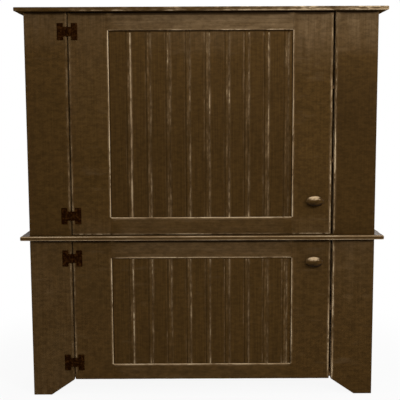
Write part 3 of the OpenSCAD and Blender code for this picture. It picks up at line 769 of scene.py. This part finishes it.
def leaf_mesh(name, node, side, knuckles, pin):
    """One hinge leaf: a plate with an upright bar and a tongue, and its knuckles round the pin."""
    low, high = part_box(node)
    outer = high.x if side > 0 else low.x
    bar, root = outer - side * HINGE_BAR_W, pin.x + side * LEAF_ROOT
    middle, back = (low.z + high.z) / 2, pin.y + KNUCKLE_R
    half_h, half_tongue = (high.z - low.z) / 2, HINGE_TONGUE_H / 2
    outline = [(root, -half_tongue), (bar, -half_tongue), (bar, -half_h), (outer, -half_h),
               (outer, half_h), (bar, half_h), (bar, half_tongue), (root, half_tongue)]
    bm = bmesh.new()
    bm.faces.new([bm.verts.new((x, back, middle + z)) for x, z in outline])
    bmesh.ops.bevel(bm, geom=[v for v in bm.verts if abs(v.co.x - root) > NEARLY],
                    offset=LEAF_CORNER_R, segments=4, affect="VERTICES", profile=0.5)
    front = bmesh.ops.extrude_face_region(bm, geom=bm.faces[:])
    for vertex in (item for item in front["geom"] if isinstance(item, bmesh.types.BMVert)):
        vertex.co.y -= LEAF_T
    bmesh.ops.recalc_face_normals(bm, faces=bm.faces)
    rim = [edge for edge in bm.edges
           if len(edge.link_faces) == 2 and edge.calc_face_angle(0) > SHARP_TURN
           and all(v.co.y < back - LEAF_T / 2 for v in edge.verts)]
    bmesh.ops.bevel(bm, geom=rim, offset=LEAF_RIM_R, segments=3, affect="EDGES", profile=0.5,
                    clamp_overlap=True)
    for axis, start, end in ((0, min(outer, root), max(outer, root)),
                             (2, middle - half_h, middle + half_h)):
        for place in np.arange(start + GRID_START, end - GRID_END, GRID):
            at, normal = Vector((0, 0, 0)), Vector((0, 0, 0))
            at[axis], normal[axis] = place, 1
            bmesh.ops.bisect_plane(bm, geom=bm.verts[:] + bm.edges[:] + bm.faces[:], plane_co=at,
                                   plane_no=normal, dist=SAME)
    for vertex in bm.verts:
        if vertex.co.y < back - LEAF_T + NEARLY:
            dent = ripple(np.array([vertex.co]), DENT_LENGTH, seed_of(name))[0]
            vertex.co.y += DENT_DEPTH * (1 + dent)
    height = (HINGE_TONGUE_H - 2 * KNUCKLE_GAP) / 3
    for k in knuckles:
        centre = middle - half_tongue + k * (height + KNUCKLE_GAP) + height / 2
        barrel = bmesh.ops.create_cone(bm, cap_ends=True, segments=KNUCKLE_SIDES,
                                       radius1=KNUCKLE_R, radius2=KNUCKLE_R, depth=height,
                                       matrix=Matrix.Translation((pin.x, pin.y, centre)))
        rims = [edge for vertex in barrel["verts"] for edge in vertex.link_edges
                if abs(edge.verts[0].co.z - edge.verts[1].co.z) < SAME
                and len(edge.link_faces) == 2 and edge.calc_face_angle(0) > SHARP_TURN]
        bmesh.ops.bevel(bm, geom=list(dict.fromkeys(rims)), offset=KNUCKLE_RIM_R, segments=2,
                        affect="EDGES", profile=0.5)
    mesh = bpy.data.meshes.new(name)
    bm.to_mesh(mesh)
    bm.free()
    return mesh


# Heads of screws and nails: radius, height, how deep they are sunk, and whether they are slotted
Head = namedtuple("Head", "radius height sunk slotted")
KNOB_SCREW = Head(0.0045, 0.0016, 0.0016, True)
LEAF_SCREW = Head(0.004, 0.0011, 0.0011, True)
CLEAT_SCREW = Head(0.004, 0.0005, 0.0002, True)
BACK_NAIL = Head(0.0036, 0.0005, 0.0005, False)

# The form of a head, as shares of its radius or height: the slot's half width and its floor, the
# height of the dome's rim and how much the dome curves, and the points across and along it
SLOT_HALF, SLOT_FLOOR = 0.14, 0.15
DOME_RIM, DOME_CURVE = 0.35, 0.92
HEAD_COLUMNS = (SLOT_HALF, SLOT_HALF + 0.03, 0.25, 0.4, 0.6, 0.8, 0.93, 1)
HEAD_ROWS = 13
# How much wider the foot of a head is, and how deep it goes
HEAD_FLARE, HEAD_FOOT = 1.03, 0.0002


def head_shell(centre, direction, head, turn):
    """A low domed head with its foot on the centre point, turned about its direction."""
    columns = [-share for share in reversed(HEAD_COLUMNS)] + list(HEAD_COLUMNS)
    rows = np.linspace(-1, 1, HEAD_ROWS)
    points, faces = [], []
    for u in columns:
        for v in rows:
            x, y = u, v * math.sqrt(max(0, 1 - u * u))
            dome = math.sqrt(max(0, 1 - DOME_CURVE * (x * x + y * y)))
            cut = head.slotted and abs(u) <= SLOT_HALF
            z = SLOT_FLOOR if cut else DOME_RIM + (1 - DOME_RIM) * dome
            points.append((x * head.radius, y * head.radius, z * head.height))
    for i in range(len(columns) - 1):
        for j in range(HEAD_ROWS - 1):
            a = i * HEAD_ROWS + j
            faces.append([a, a + HEAD_ROWS, a + HEAD_ROWS + 1, a + 1])
    top = len(points)
    rim = ([i * HEAD_ROWS for i in range(len(columns))]
           + [i * HEAD_ROWS + HEAD_ROWS - 1 for i in reversed(range(len(columns)))])
    for corner in rim:
        x, y, _ = points[corner]
        points.append((x * HEAD_FLARE, y * HEAD_FLARE, -HEAD_FOOT))
    for i in range(len(rim)):
        j = (i + 1) % len(rim)
        faces.append([rim[i], rim[j], top + j, top + i])
    faces.append([top + i for i in reversed(range(len(rim)))])
    spin = Vector(direction).to_track_quat("Z", "Y").to_matrix() @ Matrix.Rotation(turn, 3, "Z")
    points = np.array(points) @ np.array(spin).T
    return Shell(points + centre, faces, points)


def fasteners(node, material, body, head):
    """Heads on every screw or nail of a node, where its solids have theirs."""
    rng = np.random.default_rng(seed_of(node))
    shells = []
    for points in islands(node):
        low, high = points.min(axis=0), points.max(axis=0)
        axis = int(np.argmax(high - low))
        centre = (low + high) / 2
        others = [other for other in range(3) if other != axis]
        away = np.linalg.norm(points[:, others] - centre[others], axis=1)
        third = (high[axis] - low[axis]) / 3
        at_high = away[points[:, axis] > high[axis] - third].max()
        at_low = away[points[:, axis] < low[axis] + third].max()
        sign = 1 if at_high > at_low else -1
        direction = np.zeros(3)
        direction[axis] = sign
        centre[axis] = high[axis] if sign > 0 else low[axis]
        shells.append(head_shell(centre - direction * head.sunk, direction, head,
                                 rng.uniform(0, math.pi)))
    piece(node + "_heads", shells, material, body, node)


# The build

# How rubbed the arris after each bead is, from the hinge side to the knob side
BEAD_RUB = {
    "upper": (1.2, 0.45, 0.47, 0.52, 0.54, 0.5, 0.53, 0.6, 0.5),
    "lower": (0.7, 0.54, 0.44, 0.66, 0.7, 0.48, 0.46, 0.48, 0.5),
}

# How pale the paint is along each board, from its low end, as (share of the length, value)
# points: thin paint and painted sheen, which is strongest at the top right. It is darker below
# zero
PALE_AND_SHEEN = {
    "upper_face_left": ((0, -0.05), (0.15, -0.16), (0.6, -0.12), (0.82, 0.0), (0.93, 0.16),
                        (1, 0.24)),
    "upper_face_right": ((0, -0.2), (0.5, -0.36), (0.65, -0.3), (0.78, -0.05), (0.88, 0.25),
                         (1, 0.52)),
    "lower_face_left": ((0, 0.12), (0.5, 0.07), (1, 0.09)),
    "lower_face_right": ((0, -0.03), (0.6, 0.03), (0.9, 0.1), (1, 0.18)),
    "upper_door_hinge_stile": ((0, 0.1), (0.1, 0.0), (0.4, 0.0), (0.6, 0.04), (0.85, 0.08),
                               (1, 0.2)),
    "upper_door_knob_stile": ((0, 0.1), (0.1, 0.0), (0.7, 0.0), (0.8, 0.1), (0.9, 0.32),
                              (1, 0.48)),
    "upper_door_top_rail": ((0, 0.2), (0.1, 0.4), (0.5, 0.52), (0.88, 0.6), (1, 0.5)),
    "upper_door_bottom_rail": ((0, 0.0), (0.1, 0.1), (0.9, 0.07), (1, 0.0)),
    "lower_door_hinge_stile": ((0, 0.02), (1, 0.04)),
    "lower_door_knob_stile": ((0, 0.0), (0.8, 0.02), (1, 0.1)),
    "lower_door_top_rail": ((0, 0.08), (0.1, 0.2), (0.9, 0.2), (1, 0.12)),
    "lower_door_bottom_rail": ((0, 0.0), (0.1, 0.08), (0.9, 0.05), (1, 0.0)),
}

# How far the back boards differ in tone
BACK_TONES = 0.3

paint = worn_paint("worn_paint", gloss=0.05, brushed=0.1, mottled=0.24)
panel_paint = worn_paint("panel_paint", gloss=0.05, brushed=0.19, mottled=0.2)
# No gloss on the cornice, where it would glare at low angles, and more on the waist's ledge
dull_paint = worn_paint("dull_paint", gloss=0.0, brushed=0.1, mottled=0.24)
ledge_paint = worn_paint("ledge_paint", gloss=0.12, brushed=0.1, mottled=0.24)
inner_wood = plain_wood("inner_wood", colour(150, 112, 70), colour(112, 80, 46), 0.7)
back_wood = plain_wood("back_wood", colour(118, 88, 56), colour(84, 60, 36), 0.8)
iron = black_iron("black_iron")
nail_metal = steel("nail_steel", colour(120, 112, 102), colour(78, 58, 42))
catch_metal = steel("catch_steel", colour(170, 168, 160), colour(130, 126, 118))
knob_wax = waxed_knob("waxed_knob")


def board(node, grain, edges, body="case", material=paint, slot="worn_paint_wood", low=None,
          high=None, **more):
    """A board in place of a node, in the node's own box unless low or high is given."""
    box_low, box_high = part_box(node)
    shell = board_shell(node, low or box_low, high or box_high, grain, edges,
                        pale=PALE_AND_SHEEN.get(node, EVEN), **more)
    piece(node + "_board", shell, material, body, node)


def build_case():
    """The boards of both cases that show from outside."""
    tip = Rub(0.25, BLUNT)
    board("top_board", "xyz", (tip, tip, Rub(0.55, SOFT), Rub(0.3)), material=dull_paint,
          back=1.0, reach=2.4, faces=(1.15, 0.8), run=(0.45, 1.6))
    board("waist_board", "xyz", (tip, tip, Rub(2.4, SOFT), Rub(0.3)), material=ledge_paint,
          back=1.0, reach=0.4, faces=(0.8, 1.4), run=(1.1, 1.55))
    for side, outer, inner, inner_rub in (("left", 2, 3, 0.42), ("right", 3, 2, 0.75)):
        # The top ends carry painted shadow under the cornice and the waist board
        edges = [Rub(0.1), Rub(-0.95), None, None]
        edges[outer], edges[inner] = Rub(0.15), Rub(inner_rub, ROUND, SHOULDER)
        board(f"upper_face_{side}", "zxy", edges)
        low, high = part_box(f"lower_face_{side}")
        if side == "left":
            line = [(low.x, 0), (low.x + FOOT_W, 0), (high.x, FOOT_H)]
        else:
            line = [(low.x, FOOT_H), (high.x - FOOT_W, 0), (high.x, 0)]
        board(f"lower_face_{side}", "zxy", edges, foot=line)
        # The top ends of the sides carry painted shadow under the overhangs
        edges = (Rub(0.2), Rub(-0.6), Rub(0.15), Rub(0.5))
        board(f"upper_side_{side}", "zyx", edges, back=1.0)
        low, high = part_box(f"lower_side_{side}")
        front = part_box(f"lower_face_{side}")[0].y + SIDE_FOOT_W
        rear = high.y - SIDE_FOOT_W
        line = [(low.y, 0), (front, 0), (front + SIDE_FOOT_RUN, FOOT_H),
                (rear - SIDE_FOOT_RUN, FOOT_H), (rear, 0), (high.y, 0)]
        board(f"lower_side_{side}", "zyx", edges, back=1.0, foot=line)


def build_inside():
    """Shelves, bottom board, cleats and back boards."""
    for node in ("upper_shelf_high", "upper_shelf_low", "lower_shelf", "bottom_board"):
        board(node, "xyz", (Rub(0, PLAIN),) * 4, material=inner_wood, slot="inner_wood",
              step=0.06)
    for node in ("upper_shelf_cleats", "top_cleats", "upper_base_cleats", "lower_shelf_cleats",
                 "waist_cleats"):
        shells = []
        for k, points in enumerate(islands(node)):
            low, high = points.min(axis=0), points.max(axis=0)
            grain = "xyz" if high[0] - low[0] > high[1] - low[1] else "yxz"
            shells.append(board_shell(f"{node} {k}", low, high, grain, step=0.08))
        piece(node + "_bars", shells, inner_wood, "case", node)
    for node in ("upper_back_boards", "lower_back_boards"):
        parts = islands(node)
        shells = []
        for k, points in enumerate(parts):
            low, high = points.min(axis=0), points.max(axis=0)
            high[1] -= BACK_CLEARANCE
            middle = (low[1] + high[1]) / 2
            first, last = k == 0, k == len(parts) - 1
            outer_low, inner_high = low.copy(), high.copy()
            outer_low[1], inner_high[1] = middle, middle
            outer_low[0] += 0 if first else BACK_LAP
            inner_high[0] -= 0 if last else BACK_LAP
            rng = np.random.default_rng(seed_of(f"{node} {k}"))
            tone = rng.uniform(-BACK_TONES, BACK_TONES)
            for lap_low, lap_high in ((outer_low, high), (low, inner_high)):
                shells.append(board_shell(f"{node} {k}", lap_low, lap_high, "zxy", step=0.05,
                                          pale=((0, tone), (1, tone))))
        piece(node + "_planks", shells, back_wood, "case", node)


def build_door(door, foot_rub, lintel_rub, top_shadow, panel_pale):
    """One door: stiles, rails, beaded panel, knob and strike plate. Foot_rub is how rubbed its
    lower end is, and lintel_rub its top rail over the panel. The other two are for the panel."""
    body = f"{door}_door"
    low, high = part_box(f"{body}_bottom_rail")[1].z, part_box(f"{body}_top_rail")[0].z
    left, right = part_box(f"{body}_hinge_stile")[1].x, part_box(f"{body}_knob_stile")[0].x
    # The tops of the stiles and of the top rail carry painted shadow under the overhang above the
    # door
    top, bottom = Rub(-0.95, SOFT), Rub(foot_rub, SOFT)
    opening = Rub(1.05, start=low, end=high)
    hinge_side, knob_side = (Rub(strength, ROUND, SHOULDER) for strength in (0.43, 0.75))
    board(f"{body}_hinge_stile", "zxy", (bottom, top, hinge_side, opening), body)
    board(f"{body}_knob_stile", "zxy", (bottom, top, opening, knob_side), body)
    for rail, lower, upper in (("bottom", bottom, Rub(1.2)), ("top", Rub(lintel_rub), top)):
        node = f"{body}_{rail}_rail"
        rail_low, rail_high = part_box(node)
        rail_low.x, rail_high.x = left, right
        board(node, "xzy", (CRISP, CRISP, lower, upper), body, low=rail_low, high=rail_high)
    piece(f"{body}_beaded_boards", panel_shells(door, top_shadow, panel_pale), panel_paint, body,
          f"{body}_panel_boards")
    piece(f"{door}_turned_knob", knob_shell(f"{door}_knob"), knob_wax, body,
          f"{door}_knob")
    board(f"{door}_strike", "xzy", (CRISP,) * 4, body, material=catch_metal, slot="catch_steel")
    fasteners(f"{door}_knob_screw", catch_metal, body, KNOB_SCREW)


def build_hinges():
    """The iron leaves with their screws, and the metal of the pins and catches."""
    for door in ("upper", "lower"):
        pin_low, pin_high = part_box(f"{door}_hinge_pins")
        pin = (pin_low + pin_high) / 2
        for level in ("high", "low"):
            for part, side, knuckles, body in (("case", -1, (0, 2), "case"),
                                               ("door", 1, (1,), f"{door}_door")):
                node = f"{door}_hinge_{level}_{part}_leaf"
                name = node + "_iron"
                dress(name, leaf_mesh(name, node, side, knuckles, pin), iron, body,
                      node)
        nodes[f"{door}_hinge_pins"].data.materials[0] = iron
        fasteners(f"{door}_door_leaf_screws", iron, f"{door}_door", LEAF_SCREW)
        nodes[f"{door}_catch"].data.materials[0] = catch_metal
    fasteners("case_leaf_screws", iron, "case", LEAF_SCREW)


def build_nails():
    """Nail heads in the back boards and screw heads in the cleats."""
    for case in ("upper", "lower"):
        fasteners(f"{case}_back_nails", nail_metal, "case", BACK_NAIL)
        fasteners(f"{case}_cleat_screws", nail_metal, "case", CLEAT_SCREW)


def build_stage():
    """A pale floor in a surround that is white to the camera and in gloss, and lights the rest
    softly."""
    mesh = bpy.data.meshes.new("floor")
    mesh.from_pydata([(x * FLOOR_REACH, y * FLOOR_REACH, 0)
                      for x, y in ((-1, -1), (1, -1), (1, 1), (-1, 1))], [], [(0, 1, 2, 3)])
    mesh.materials.append(floor_paint("floor_white"))
    floor = bpy.data.objects.new("floor", mesh)
    bpy.context.scene.collection.objects.link(floor)
    world = Nodes(bpy.data.worlds.new("surround"))
    bpy.context.scene.world = world.owner
    world.tree.nodes.remove(world.tree.nodes["Background"])
    seen = world.math("MAXIMUM", world.ray("Camera"), world.ray("Glossy"))
    seen = world.math("MAXIMUM", seen, world.ray("Transmission"))
    light, white = (world.add("Background", {"Color": WHITE, "Strength": strength})
                    for strength in (SURROUND_LIGHT, 1.0))
    both = world.add("MixShader", {0: seen, 1: light, 2: white})
    world.put(world.tree.nodes["World Output"].inputs["Surface"], both)


# Area lights: place, target, width, height and power. The key is a softbox over the camera, the
# shade gives the shadows from the right, and the gleam is mirrored in the knobs
LIGHTS = {
    "key": ((0.6, -4.0, 2.42), (0.1, -0.2, 1.1), 1.5, 0.35, 54),
    "shade": ((2.4, -3.4, 2.5), (0.1, -0.2, 0.9), 0.5, 0.35, 58),
    "fill": ((-2.4, -3.0, 1.4), (0, -0.2, 0.7), 2.0, 2.0, 8),
    "top": ((0.3, -0.6, 3.9), (0, -0.1, 1.5), 1.6, 1.6, 22),
    "left": ((-3.8, 0.1, 1.7), (-0.8, 0.1, 0.9), 1.6, 1.6, 38),
    "right": ((3.8, 0.1, 1.7), (0.8, 0.1, 0.9), 1.6, 1.6, 38),
    "back": ((0.5, 4.0, 2.0), (0, 0.2, 0.9), 2.0, 1.6, 70),
    "gleam": ((0.6, -1.8, 3.5), (0.5, -0.2, 0.9), 0.5, 0.25, 18),
}


def build_lights():
    """The soft lights, each of which faces its target."""
    for name, (place, target, width, height, power) in LIGHTS.items():
        data = bpy.data.lights.new(name, "AREA")
        data.shape = "RECTANGLE"
        data.size, data.size_y, data.energy = width, height, power
        lamp = bpy.data.objects.new(name, data)
        lamp.location = place
        lamp.rotation_euler = (Vector(target) - Vector(place)).to_track_quat("-Z", "Y").to_euler()
        bpy.context.scene.collection.objects.link(lamp)


def build_camera():
    """The camera of the photograph."""
    data = bpy.data.cameras.new("camera")
    data.sensor_width = SENSOR_MM
    data.lens = SENSOR_MM * FOCAL_PX / PHOTO_PX
    data.shift_x = -OBJECT_OFFSET_PX / PHOTO_PX
    camera = bpy.data.objects.new("camera", data)
    place = (0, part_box("upper_face_left")[0].y - CAMERA_BACK, CAMERA_HEIGHT)
    camera.matrix_world = (Matrix.Translation(place)
                           @ Matrix.Rotation(math.pi / 2 - CAMERA_PITCH, 4, "X")
                           @ Matrix.Rotation(CAMERA_ROLL, 4, "Z"))
    bpy.context.scene.collection.objects.link(camera)
    bpy.context.scene.camera = camera


build_camera()
build_stage()
build_lights()
build_case()
build_inside()
build_door("upper", foot_rub=0.8, lintel_rub=0.75, top_shadow=0.9, panel_pale=(-0.2, 0.19, 0.18))
build_door("lower", foot_rub=0.1, lintel_rub=0.95, top_shadow=0.1, panel_pale=(-0.06, 0.03, 0.0))
build_hinges()
build_nails()
bpy.context.scene.view_settings.view_transform = "Standard"
